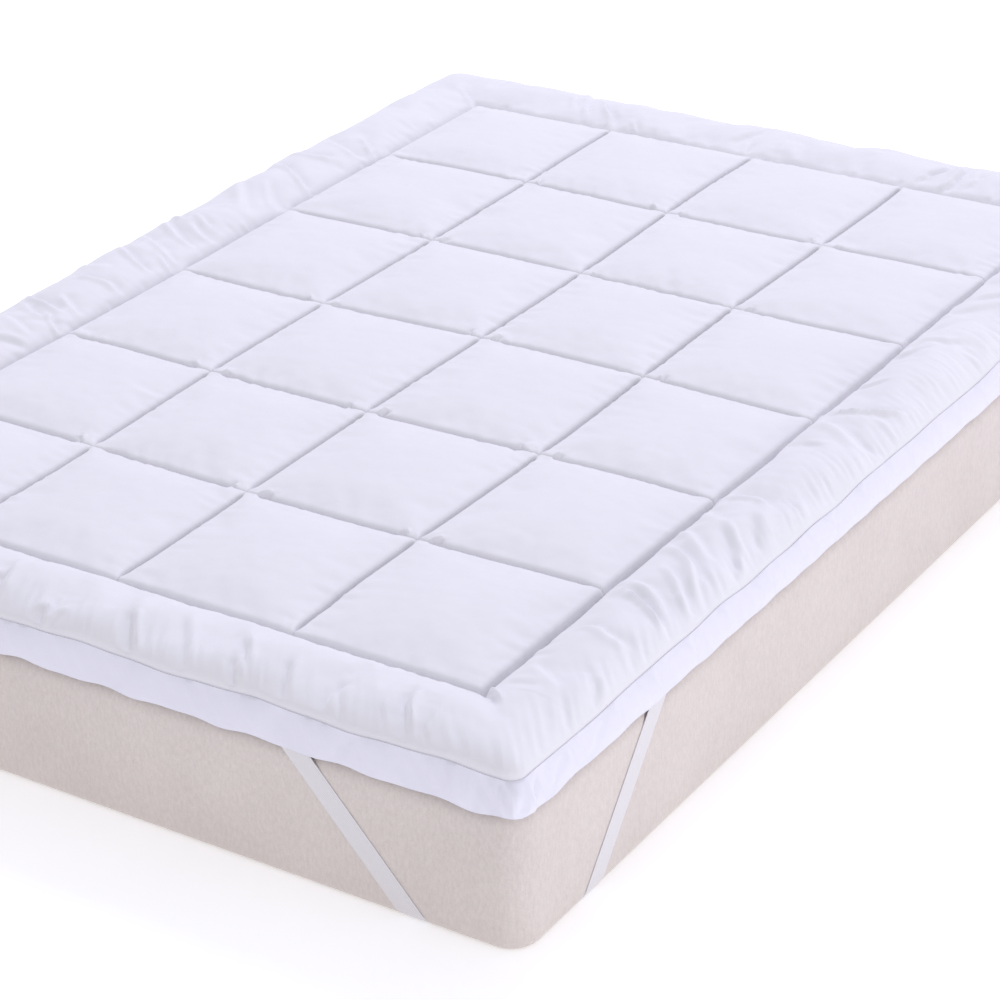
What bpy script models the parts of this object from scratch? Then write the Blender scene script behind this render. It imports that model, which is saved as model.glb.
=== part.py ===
"""Mattress topper on a plain mattress.

A double topper, 1.35 m by 1.90 m: one filled pad with four by six stitched squares inside a puffed
border, a gusset strip round its sides, and four elastic straps that pass under the corners of the
mattress that it lies on.

Metres. X runs across the bed, Y along it, Z up. The origin is on the ground, under the middle.
"""

import math

import bmesh
import bpy

# Fits
GAP = 0.0003  # between pieces that touch

# Mattress
MATTRESS_WIDTH = 1.344
MATTRESS_LENGTH = 1.894
MATTRESS_HEIGHT = 0.194
MATTRESS_CORNER_RADIUS = 0.050
MATTRESS_TOP_RADIUS = 0.030
MATTRESS_BOTTOM_RADIUS = 0.012
MATTRESS_EDGE_STEPS = 4
MATTRESS_CORNER_STEPS = 7

# Topper, measured over the seam that joins the pad to its gusset
TOPPER_WIDTH = 1.350
TOPPER_LENGTH = 1.900
TOPPER_CORNER_RADIUS = 0.060
BORDER = 0.135
CELLS_ACROSS = 4
CELLS_ALONG = 6
PAD_AT_SEAMS = 0.050  # thickness of the pad under a stitched line
OUTER_SEAM_DROP = 0.007  # how much lower the outer seam lies than the stitched lines
CELL_CROWN = 0.018
BORDER_CROWN = 0.017
CROWN_UNEVENNESS = 0.0022
CROWN_FLATNESS = 3.0
CROWN_STEEPNESS = 0.5
SEAM_WANDER = 0.004

# How fullness and seams vary over the bed: (radians per metre of x, per metre of y, phase)
UNEVEN_WAVES = ((5.3, 3.1, 0.7), (-6.1, 7.9, 2.2))
BORDER_PACE = 5.0  # how many times faster the border's fullness varies than the cells'
SCALLOP_PACE = 3.0  # and the gusset's lower edge

# Places of the mesh lines across one cell or the border, closer together beside the seams
CELL_STEPS = (0.0, 0.07, 0.22, 0.5, 0.78, 0.93)

# Gusset strip
GUSSET_THICKNESS = 0.0015
GUSSET_HEIGHT = 0.052
GUSSET_BULGE = 0.0015
GUSSET_SCALLOP = 0.0016  # how far its lower edge waves up

# Elastic straps, one round each corner of the mattress
STRAP_WIDTH = 0.030
STRAP_THICKNESS = 0.0015
STRAP_OFF_MATTRESS = 0.0005
STRAP_END_BELOW_PAD = 0.001
STRAP_TOP_TO_CORNER = 0.312
STRAP_LEAN = math.radians(41.0)  # from the vertical, on the mattress's side
STRAP_BEND_RADIUS = 0.012
STRAP_BEND_STEPS = 5
STRAP_GROOVE_MARGIN = 0.0006
STRAP_GROOVE_REACH = 0.004

# Heights and offsets that follow from the sizes above
PAD_BOTTOM = MATTRESS_HEIGHT + GAP
CELL_SEAM_HEIGHT = PAD_BOTTOM + PAD_AT_SEAMS
OUTER_SEAM_HEIGHT = CELL_SEAM_HEIGHT - OUTER_SEAM_DROP
GUSSET_BOTTOM = OUTER_SEAM_HEIGHT - GUSSET_HEIGHT
STRAP_TOP_HEIGHT = MATTRESS_HEIGHT - STRAP_END_BELOW_PAD
STRAP_FACE = MATTRESS_WIDTH / 2 + STRAP_OFF_MATTRESS + STRAP_THICKNESS
PAD_INSET = TOPPER_WIDTH / 2 - STRAP_FACE  # the pad's sides are flush with the straps' outer face
GUSSET_INNER_OFFSET = GAP - PAD_INSET

# Material table: name, base colour, roughness
FINISHES = {
    "quilted_cover": ((0.82, 0.82, 0.90), 0.85),
    "gusset_cloth": ((0.80, 0.79, 0.89), 0.85),
    "elastic": ((0.78, 0.76, 0.78), 0.75),
    "mattress_cloth": ((0.60, 0.53, 0.50), 0.95),
}


def clear_scene():
    for item in list(bpy.data.objects):
        bpy.data.objects.remove(item, do_unlink=True)


def finish(name):
    """The material of that name, made the first time that it is asked for."""
    material = bpy.data.materials.get(name)
    if material is None:
        colour, roughness = FINISHES[name]
        material = bpy.data.materials.new(name)
        material.use_nodes = True
        shader = material.node_tree.nodes["Principled BSDF"]
        shader.inputs["Base Color"].default_value = (*colour, 1.0)
        shader.inputs["Roughness"].default_value = roughness
        shader.inputs["Metallic"].default_value = 0.0
    return material


def add_object(name, mesh, material_name):
    """Links a mesh to the scene as a smooth-shaded object with its own material."""
    if not mesh.materials:
        mesh.materials.append(finish(material_name))
    item = bpy.data.objects.new(name, mesh)
    bpy.context.scene.collection.objects.link(item)
    return item


def mesh_from(name, build):
    """A mesh that `build` fills through bmesh, with its faces turned outwards."""
    bm = bmesh.new()
    build(bm)
    bmesh.ops.recalc_face_normals(bm, faces=bm.faces)
    mesh = bpy.data.meshes.new(name)
    bm.to_mesh(mesh)
    bm.free()
    mesh.shade_smooth()
    mesh.set_sharp_from_angle(angle=math.radians(40.0))
    return mesh


def bridge_rows(bm, rows):
    """Joins rings of equally many vertices with quads, each ring to the next."""
    count = len(rows[0])
    for low, high in zip(rows, rows[1:]):
        for i in range(count):
            j = (i + 1) % count
            bm.faces.new((low[i], low[j], high[j], high[i]))


# ---------------------------------------------------------------- mattress


def rounded_rectangle(half_x, half_y, radius, steps):
    """Points of a rounded rectangle, anticlockwise, with `steps` chords round each corner."""
    points = []
    for quarter, (sign_x, sign_y) in enumerate(((1, 1), (-1, 1), (-1, -1), (1, -1))):
        centre_x = sign_x * (half_x - radius)
        centre_y = sign_y * (half_y - radius)
        for step in range(steps + 1):
            angle = math.radians(90.0) * (quarter + step / steps)
            x = centre_x + radius * math.cos(angle)
            y = centre_y + radius * math.sin(angle)
            points.append((x, y))
    return points


def mattress_profile():
    """Inset and height of each ring of the mattress's side, from its bottom face to its top face."""
    rings = []
    for step in range(MATTRESS_EDGE_STEPS + 1):
        angle = math.radians(90.0) * step / MATTRESS_EDGE_STEPS
        inset = MATTRESS_BOTTOM_RADIUS * (1.0 - math.sin(angle))
        height = MATTRESS_BOTTOM_RADIUS * (1.0 - math.cos(angle))
        rings.append((inset, height))
    for step in range(MATTRESS_EDGE_STEPS + 1):
        angle = math.radians(90.0) * step / MATTRESS_EDGE_STEPS
        inset = MATTRESS_TOP_RADIUS * (1.0 - math.cos(angle))
        height = MATTRESS_HEIGHT - MATTRESS_TOP_RADIUS * (1.0 - math.sin(angle))
        rings.append((inset, height))
    return rings


def build_mattress(bm):
    rows = []
    for inset, height in mattress_profile():
        outline = rounded_rectangle(
            MATTRESS_WIDTH / 2 - inset,
            MATTRESS_LENGTH / 2 - inset,
            MATTRESS_CORNER_RADIUS - inset,
            MATTRESS_CORNER_STEPS,
        )
        rows.append([bm.verts.new((x, y, height)) for x, y in outline])
    bridge_rows(bm, rows)
    bm.faces.new(rows[0])
    bm.faces.new(rows[-1])


# ---------------------------------------------------------------- straps


def strap_side_rows():
    """Rows of a strap down one side of the mattress and round its bottom edge.

    Each row is (place along the side from the corner, half width along the side, outward offset and
    height of its inner face, outward and upward parts of its normal).
    """
    bend_start = GAP + STRAP_THICKNESS + STRAP_BEND_RADIUS
    half_cut = STRAP_WIDTH / 2 / math.cos(STRAP_LEAN)
    stations = [(STRAP_OFF_MATTRESS, STRAP_TOP_HEIGHT, 1.0, 0.0, 0.0)]
    straight = STRAP_TOP_HEIGHT - bend_start
    for step in range(STRAP_BEND_STEPS + 1):
        angle = math.radians(90.0) * step / STRAP_BEND_STEPS
        out = STRAP_OFF_MATTRESS - STRAP_BEND_RADIUS * (1.0 - math.cos(angle))
        height = bend_start - STRAP_BEND_RADIUS * math.sin(angle)
        travelled = straight + STRAP_BEND_RADIUS * angle
        stations.append((out, height, math.cos(angle), -math.sin(angle), travelled))
    rows = []
    for out, height, normal_out, normal_up, travelled in stations:
        along = STRAP_TOP_TO_CORNER - travelled * math.tan(STRAP_LEAN)
        rows.append((along, half_cut, out, height, normal_out, normal_up))
    return rows


def build_strap(bm, margin=0.0, depth=0.0, reach=0.0):
    """A strap round the corner at (0, 0), of a mattress that fills x < 0 and y < 0.

    `margin` widens it, `depth` moves its inner face into the mattress and `reach` moves its outer
    face away from it, which makes the cutter of its groove.
    """
    outer = STRAP_THICKNESS + reach
    section_corners = ((-1, -depth), (1, -depth), (1, outer), (-1, outer))
    side_rows = strap_side_rows()
    sections = []
    for along, half_cut, out, height, normal_out, normal_up in side_rows:
        section = []
        for place, level in section_corners:
            y = -(along + place * (half_cut + margin))
            section.append((out + level * normal_out, y, height + level * normal_up))
        sections.append(section)

    # Under the mattress the strap runs at 45 degrees, so it meets the corner's diagonal squarely.
    along, half_cut, out, height = side_rows[-1][:4]
    middle = []
    for place, level in section_corners:
        diagonal = (along + place * (half_cut + margin) - out) / 2
        middle.append((-diagonal, -diagonal, height - level))
    mirrored = [[(y, x, z) for x, y, z in section] for section in reversed(sections)]

    rows = []
    for section in (*sections, middle, *mirrored):
        rows.append([bm.verts.new(point) for point in section])
    bridge_rows(bm, rows)
    bm.faces.new(rows[0])
    bm.faces.new(rows[-1])


CORNERS = (
    # name, side of the bed, end of the bed, turn about Z that puts the strap's corner there
    ("back_right", 1, 1, 0.0),
    ("back_left", -1, 1, 90.0),
    ("front_left", -1, -1, 180.0),
    ("front_right", 1, -1, 270.0),
)


def place_at_corner(item, side, end, turn):
    item.location = (side * MATTRESS_WIDTH / 2, end * MATTRESS_LENGTH / 2, 0.0)
    item.rotation_euler = (0.0, 0.0, math.radians(turn))


def make_straps():
    mesh = mesh_from("elastic_strap", build_strap)
    for name, side, end, turn in CORNERS:
        strap = add_object("strap_" + name, mesh, "elastic")
        place_at_corner(strap, side, end, turn)


def make_mattress():
    """The mattress, pressed in by the straps where they pass under it."""
    mattress = add_object("mattress", mesh_from("mattress", build_mattress), "mattress_cloth")

    def build_groove(bm):
        build_strap(bm, STRAP_GROOVE_MARGIN, GAP, STRAP_GROOVE_REACH)

    groove = mesh_from("strap_groove", build_groove)
    for name, side, end, turn in CORNERS:
        cutter = add_object("groove_" + name, groove, "elastic")
        place_at_corner(cutter, side, end, turn)
        cutter.hide_render = True
        cutter.display_type = "WIRE"
        cut = mattress.modifiers.new("groove_" + name, "BOOLEAN")
        cut.operation = "DIFFERENCE"
        cut.solver = "EXACT"
        cut.object = cutter


# ---------------------------------------------------------------- topper


def mesh_lines(half_size, cells):
    """Mesh lines across the topper: (place, share of the cell that it is in, share of the border)."""
    field = half_size - BORDER
    size = 2.0 * field / cells
    border_steps = (*CELL_STEPS[1:], 1.0)
    lines = [(-field - BORDER * step, 0.0, -step) for step in reversed(border_steps)]
    for cell in range(cells):
        lines += [(-field + (cell + step) * size, step, 0.0) for step in CELL_STEPS]
    lines.append((field, 0.0, 0.0))
    lines += [(field + BORDER * step, 0.0, step) for step in border_steps]
    return lines


def round_corner(across, along):
    """Moves a point of a corner of the border, given as shares of its width, onto the rounded corner.

    Squares round the field's corner become squares with one rounded corner, so the outermost one
    follows the topper's outline.
    """
    reach = max(abs(across), abs(along))
    x = abs(across) / reach
    y = abs(along) / reach
    radius = TOPPER_CORNER_RADIUS / BORDER
    inner = 1.0 - radius
    if min(x, y) <= inner:
        return across, along
    # The arc has its centre at (inner, inner); this is where the ray through (x, y) leaves it.
    toward = inner * (x + y)
    square = x * x + y * y
    root = math.sqrt(toward * toward - square * (2 * inner * inner - radius * radius))
    scale = (toward + root) / square
    return across * scale, along * scale


def crown(share):
    """Height of a stuffed strip between two seams, from 0 at its seams to 1 at its middle."""
    return (1.0 - abs(2.0 * share - 1.0) ** CROWN_FLATNESS) ** CROWN_STEEPNESS


def uneven(x, y):
    """A smooth wander between -1 and 1, for fullness that differs from place to place."""
    waves = [math.sin(per_x * x + per_y * y + phase) for per_x, per_y, phase in UNEVEN_WAVES]
    return sum(waves) / len(waves)


def pad_point(column, row):
    """A point of the pad's upper face, from its mesh lines in x and y."""
    x, share_x, border_x = column
    y, share_y, border_y = row
    edge = max(abs(border_x), abs(border_y))
    if border_x and border_y:
        corner_x = math.copysign(TOPPER_WIDTH / 2 - BORDER, x)
        corner_y = math.copysign(TOPPER_LENGTH / 2 - BORDER, y)
        across, along = round_corner(border_x, border_y)
        x = corner_x + BORDER * across
        y = corner_y + BORDER * along
    if edge:
        fullness = BORDER_CROWN + CROWN_UNEVENNESS * uneven(BORDER_PACE * x, BORDER_PACE * y)
        return x, y, CELL_SEAM_HEIGHT - OUTER_SEAM_DROP * edge + fullness * crown(edge)
    fullness = CELL_CROWN + CROWN_UNEVENNESS * uneven(x, y)
    height = CELL_SEAM_HEIGHT + fullness * crown(share_x) * crown(share_y)
    inside = min(TOPPER_WIDTH / 2 - BORDER - abs(x), TOPPER_LENGTH / 2 - BORDER - abs(y))
    wander = SEAM_WANDER * min(1.0, inside / BORDER)
    return x + wander * uneven(y, 2.0 * x), y + wander * uneven(x, 2.0 * y), height


def edge_of(grid):
    """The items round the edge of a grid, anticlockwise."""
    bottom = [column[0] for column in grid]
    right = grid[-1][1:]
    top = [column[-1] for column in reversed(grid[:-1])]
    left = list(reversed(grid[0][1:-1]))
    return [*bottom, *right, *top, *left]


def outline():
    """The topper's outline at its outer seam: (x, y, outward x, outward y) at each mesh line."""
    columns = mesh_lines(TOPPER_WIDTH / 2, CELLS_ACROSS)
    rows = mesh_lines(TOPPER_LENGTH / 2, CELLS_ALONG)
    grid = [[pad_point(column, row) for row in rows] for column in columns]
    straight_x = TOPPER_WIDTH / 2 - TOPPER_CORNER_RADIUS
    straight_y = TOPPER_LENGTH / 2 - TOPPER_CORNER_RADIUS
    points = []
    for x, y, _ in edge_of(grid):
        out_x = math.copysign(max(0.0, abs(x) - straight_x), x)
        out_y = math.copysign(max(0.0, abs(y) - straight_y), y)
        length = math.hypot(out_x, out_y)
        points.append((x, y, out_x / length, out_y / length))
    return points


def build_pad(bm):
    """The filled pad: quilted upper face, upright sides behind the gusset and a flat underside."""
    columns = mesh_lines(TOPPER_WIDTH / 2, CELLS_ACROSS)
    rows = mesh_lines(TOPPER_LENGTH / 2, CELLS_ALONG)
    grid = [[bm.verts.new(pad_point(column, row)) for row in rows] for column in columns]
    for column, next_column in zip(grid, grid[1:]):
        for low, high, next_low, next_high in zip(column, column[1:], next_column, next_column[1:]):
            bm.faces.new((low, next_low, next_high, high))

    # The edge steps back so that the gusset lies just outside it.
    upper = edge_of(grid)
    lower = []
    for vertex, (x, y, out_x, out_y) in zip(upper, outline()):
        vertex.co.x = x - PAD_INSET * out_x
        vertex.co.y = y - PAD_INSET * out_y
        lower.append(bm.verts.new((vertex.co.x, vertex.co.y, PAD_BOTTOM)))
    bridge_rows(bm, [lower, upper])
    bm.faces.new(lower)


def build_gusset(bm):
    """The strip round the pad's sides, with a slight belly and a lower edge that waves."""
    loops = [[], [], [], [], [], []]
    for x, y, out_x, out_y in outline():
        scallop = GUSSET_SCALLOP * (0.5 + 0.5 * uneven(SCALLOP_PACE * x, SCALLOP_PACE * y))
        bottom = GUSSET_BOTTOM + scallop
        middle = (bottom + OUTER_SEAM_HEIGHT) / 2
        section = (
            (GUSSET_INNER_OFFSET, bottom),
            (GUSSET_INNER_OFFSET + GUSSET_BULGE, middle),
            (GUSSET_INNER_OFFSET, OUTER_SEAM_HEIGHT),
            (GUSSET_INNER_OFFSET + GUSSET_THICKNESS, OUTER_SEAM_HEIGHT),
            (GUSSET_INNER_OFFSET + GUSSET_THICKNESS + GUSSET_BULGE, middle),
            (GUSSET_INNER_OFFSET + GUSSET_THICKNESS, bottom),
        )
        for loop, (offset, height) in zip(loops, section):
            loop.append(bm.verts.new((x + offset * out_x, y + offset * out_y, height)))
    bridge_rows(bm, [*loops, loops[0]])


def make_topper():
    add_object("quilted_pad", mesh_from("quilted_pad", build_pad), "quilted_cover")
    add_object("gusset", mesh_from("gusset", build_gusset), "gusset_cloth")


clear_scene()
make_mattress()
make_straps()
make_topper()
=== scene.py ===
"""Looks of the quilted mattress topper on its mattress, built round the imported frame.

The topper's upper face is one grid of mesh lines: a border, four by six stitched cells and a border. A
coarse copy of that grid is settled as cloth, and what the cloth did is laid on the fine grid.

Metres. X runs across the bed, Y along it, Z up.
"""

import math

import bpy
import numpy as np
from mathutils import Euler, Matrix, Vector, noise


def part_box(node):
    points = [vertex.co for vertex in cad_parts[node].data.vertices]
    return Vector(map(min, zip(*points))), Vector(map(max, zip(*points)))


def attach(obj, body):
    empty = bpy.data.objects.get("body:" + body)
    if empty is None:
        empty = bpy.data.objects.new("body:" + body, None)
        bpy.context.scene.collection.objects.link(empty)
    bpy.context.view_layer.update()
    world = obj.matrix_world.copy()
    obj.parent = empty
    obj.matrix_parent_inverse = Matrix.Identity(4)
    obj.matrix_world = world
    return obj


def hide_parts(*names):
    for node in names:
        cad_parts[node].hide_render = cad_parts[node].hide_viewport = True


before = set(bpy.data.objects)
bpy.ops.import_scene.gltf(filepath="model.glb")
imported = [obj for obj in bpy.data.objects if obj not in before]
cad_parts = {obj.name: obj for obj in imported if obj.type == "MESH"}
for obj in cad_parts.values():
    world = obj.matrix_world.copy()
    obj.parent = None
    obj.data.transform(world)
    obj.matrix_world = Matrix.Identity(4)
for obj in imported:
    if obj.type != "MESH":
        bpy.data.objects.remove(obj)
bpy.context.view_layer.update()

PAD_LOW, PAD_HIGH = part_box("quilted_pad")
GUSSET_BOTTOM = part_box("gusset")[0].z
MATTRESS_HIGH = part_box("mattress")[1]

# ---------------- sizes

# Topper. Its outline is the seam that joins the pad to its gusset, just outside the pad's sides.
SEAM_ALLOWANCE = 0.001
HALF_X = PAD_HIGH.x + SEAM_ALLOWANCE
HALF_Y = PAD_HIGH.y + SEAM_ALLOWANCE
CORNER_RADIUS = 0.020
BORDER = 0.135
CELLS_X = 4
CELLS_Y = 6
CELL_X = 2 * (HALF_X - BORDER) / CELLS_X
CELL_Y = 2 * (HALF_Y - BORDER) / CELLS_Y
SEAM_HEIGHT = PAD_LOW.z + 0.050  # where stitched lines cross
OUTER_SEAM_HEIGHT = SEAM_HEIGHT - 0.007

# A cell rises by its crown within a narrow shoulder beside its seams, and by its dome towards its middle
CELL_CROWN = 0.003
CELL_DOME = 0.010
CELL_SHOULDER = 0.007

# The border rises from the field's seam, and ends in a wide round shoulder at the outer seam
BORDER_CROWN = 0.022
BORDER_RISE = 0.080
RIM_SHOULDER = 0.040
FLATTER_FROM = 0.45  # along the bed; from here to the far end the border gets less full, by this share
FLATTER_SHARE = 0.45

# Stitched lines lie deeper along a cell's side than where they cross
SEAM_DIP = 0.017
DIP_WIDTH = 0.011
DIP_SQUARENESS = 3  # its sides are steeper than a quarter circle
SEAM_FLOOR = 0.0015  # flat strip at the bottom, to each side of the thread
STITCH_DENT = 0.0022  # narrow trough that the thread pulls all along each line
STITCH_DENT_WIDTH = 0.0016
ALONG_RAMP = (0.006, 0.022)  # where the dip starts and is full, from a crossing, in lines along the bed
ACROSS_RAMP = (0.016, 0.034)  # and in lines across it
FIELD_SEAM_DIP = 0.0108  # of the seam round the field; less at the far and left sides of the bed
FIELD_DIP_TO_RIGHT = 0.0008
FIELD_DIP_TO_NEAR = 0.0027
FIELD_RAMP = (0.004, 0.024)
FIELD_LEAST = 0.45  # share of the dip that is left at its crossings
BORDER_DIP_WIDTH = 0.014  # the border rises more gently from that seam than the cells do
SEAM_WANDER = 0.004
CREASES_END = 0.05  # share of the border's width, before the outer seam, in which its creases run out

# Mesh
COARSE_CELL = 30
COARSE_BORDER = 16
FIELD_STEPS = 88  # fine mesh lines across a cell
FIELD_CROWDING = 0.55  # how much closer together they are beside seams
LONG_STEPS = 88  # along the border, for each cell
BORDER_STEPS = 46  # and across it
BORDER_CROWDING = 0.4

# Unevenness of the filling: (height, lumps in a metre, layer of the noise)
LUMPS = ((0.0020, 9, 7.0), (0.0009, 22, 1.0), (0.000405, 55, 2.0))
LUMPS_START = 0.03  # from a seam

# Puckers that stitches draw beside a seam: (distance apart, length, where deepest, layer of the noise)
PUCKERS = ((0.011, 0.035, 0.009, 0.0), (0.019, 0.060, 0.024, 5.0))
PUCKER = 0.0012
PATCH_LAYER, PATCHES_IN_METRE, PATCH_MIDDLE, PATCH_SPREAD = 3.0, 9, 0.45, 0.9  # where puckers come and go
RIM_PUCKER = 0.00168
RIM_PUCKER_LENGTH, RIM_PUCKER_DEEPEST, RIM_LAYER = 0.05, 0.016, 30.0
RIM_PER_RADIAN, RIM_PER_METRE = 70, 60  # puckers round the bed

# Cloth
CLOTH_FRAMES = 24
CELL_SPARE = 0.004  # share by which the cloth is cut larger than the filled shape
BORDER_SPARE = 0.006
CLOTH = {"quality": 5, "mass": 0.3, "air_damping": 1.0, "shrink_min": -BORDER_SPARE, "shrink_max": 0.0}
CLOTH |= {"tension_stiffness": 40, "compression_stiffness": 40, "tension_damping": 1}
CLOTH |= {"compression_damping": 1, "shear_stiffness": 20, "bending_stiffness": 20}
CLOTH |= {"shear_damping": 1, "bending_damping": 0.5, "use_pressure": True, "uniform_pressure_force": 3.0}

# How fullness and seams vary over the bed: (radians per metre of x, per metre of y, phase)
UNEVEN_WAVES = ((5.3, 3.1, 0.7), (-6.1, 7.9, 2.2))
CELL_SPREAD = 0.0022
BORDER_SPREAD = 0.0044
BORDER_PACE = 5.0  # how many times faster it varies along the border than from cell to cell
OUTER_SEAM_WAVE = 0.0035
SLOW_PACE, FAST_PACE, FAST_SHARE = 4, 9, 0.6  # of the two waves of the outer seam


# ---------------- small helpers


def smooth(t):
    """Rises from 0 to 1 between t = 0 and t = 1, level at both ends."""
    t = np.clip(t, 0.0, 1.0)
    return t * t * (3 - 2 * t)


def shoulder(distance, width, squareness=2):
    """Height beside a seam, from 0 at it to 1 at the end of its rounded shoulder."""
    t = np.clip(distance / width, 0.0, 1.0)
    return (1 - (1 - t) ** squareness) ** (1 / squareness)


def uneven(x, y):
    """A smooth wander between -1 and 1, for fullness that differs from place to place."""
    return sum(np.sin(a * x + b * y + c) for a, b, c in UNEVEN_WAVES) / len(UNEVEN_WAVES)


def outer_seam_wave(x, y):
    """How far the outer seam lies above or below its own height."""
    slow = uneven(SLOW_PACE * x, SLOW_PACE * y)
    fast = uneven(FAST_PACE * y, FAST_PACE * x)
    return OUTER_SEAM_WAVE * (slow + FAST_SHARE * fast) / (1 + FAST_SHARE)


def curve_through(points, steps=8):
    """A smooth line through given points (Catmull-Rom)."""
    p = np.array(points, float)
    p = np.vstack([2 * p[0] - p[1], p, 2 * p[-1] - p[-2]])
    line = []
    for a, b, c, d in zip(p, p[1:], p[2:], p[3:]):
        for t in np.arange(steps) / steps:
            square = (2 * a - 5 * b + 4 * c - d) * t**2
            cube = (3 * b - a - 3 * c + d) * t**3
            line.append(0.5 * (2 * b + (c - a) * t + square + cube))
    line.append(p[-2])
    return np.array(line)


def rounded_outline(half_x, half_y, radius, step):
    """Points of a rounded rectangle, outward directions and distance run, anticlockwise."""
    points, directions = [], []
    corners = ((1, -1, -90, half_y), (1, 1, 0, half_x), (-1, 1, 90, half_y), (-1, -1, 180, half_x))
    least_arc_steps = 6
    arc_steps = max(least_arc_steps, round(radius * math.pi / 2 / step))
    for side, end, start, half_next in corners:
        centre = np.array((side * (half_x - radius), end * (half_y - radius)))
        for k in range(arc_steps + 1):
            a = math.radians(start + 90 * k / arc_steps)
            d = np.array((math.cos(a), math.sin(a)))
            points.append(centre + radius * d)
            directions.append(d)
        length = 2 * (half_next - radius)
        count = round(length / step)
        d = directions[-1]
        along = np.array((-d[1], d[0]))
        begin = points[-1]
        for k in range(1, count):
            points.append(begin + along * length * k / count)
            directions.append(d)
    points, directions = np.array(points), np.array(directions)
    run = np.concatenate([[0], np.cumsum(np.hypot(*(points[1:] - points[:-1]).T))])
    return points, directions, run


# Degrees between faces, from which an edge is shaded sharp
PAD_SHARP, SIDE_SHARP, STRAP_SHARP, FULLY_SMOOTH = 75, 60, 50, 180


def make_object(name, points, faces, material=None, sharp_from=None):
    """An object of one mesh, shaded smooth but for edges sharper than the given degrees, or else flat."""
    mesh = bpy.data.meshes.new(name)
    mesh.from_pydata([tuple(p) for p in points], [], faces)
    mesh.update()
    if sharp_from is not None:
        mesh.shade_smooth()
        mesh.set_sharp_from_angle(angle=math.radians(sharp_from))
    if material:
        mesh.materials.append(material)
    item = bpy.data.objects.new(name, mesh)
    bpy.context.scene.collection.objects.link(item)
    return item


def set_uvs(item, uv):
    """Gives each corner of a face its vertex's UVs, in metres along and across the cloth."""
    index = np.zeros(len(item.data.loops), int)
    item.data.loops.foreach_get("vertex_index", index)
    layer = item.data.uv_layers.new(name="UVMap")
    layer.data.foreach_set("uv", uv[index].ravel().astype(np.float32))


def quads_of(numbers):
    """Quads between the vertices with these numbers, as a grid of them."""
    return np.stack([numbers[:-1, :-1], numbers[1:, :-1], numbers[1:, 1:], numbers[:-1, 1:]], -1)


def grid_faces(rows, columns, wrap=False, close=False):
    """Quads of a grid numbered row by row. wrap joins its last column to its first, close its last row."""
    numbers = np.arange(rows * columns).reshape(rows, columns)
    if wrap:
        numbers = np.hstack([numbers, numbers[:, :1]])
    if close:
        numbers = np.vstack([numbers, numbers[:1]])
    return quads_of(numbers).reshape(-1, 4)


def quarter_turn(steps):
    """Angles in equal steps over a quarter turn, both ends included."""
    return np.radians(np.linspace(0, 90, steps + 1))


# ---------------- materials

# Colours, as (darker, lighter) pairs that a noise blends
COVER_COLOURS = ((0.751, 0.747, 0.771), (0.775, 0.771, 0.795))
GUSSET_COLOURS = ((0.738, 0.731, 0.806), (0.762, 0.755, 0.830))
MATTRESS_COLOURS = ((0.590, 0.526, 0.490), (0.712, 0.646, 0.604))
ELASTIC_COLOURS = ((0.660, 0.635, 0.640), (0.800, 0.775, 0.790))
THREAD_COLOURS = ((0.740, 0.730, 0.820), (0.860, 0.850, 0.920))
FLOOR_COLOURS = ((0.890, 0.890, 0.890), (0.910, 0.910, 0.910))
FLOOR_GLOW = 0.29

WEAVE_PERIOD = 0.0009
CORD_PERIOD = 0.0025  # of the elastic's lengthwise cords
KNIT_PERIOD = 0.0011  # and of its rows of knitting
WAVE_SCALE = math.tau / 20  # of Blender's wave texture, for one wave a metre


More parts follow.
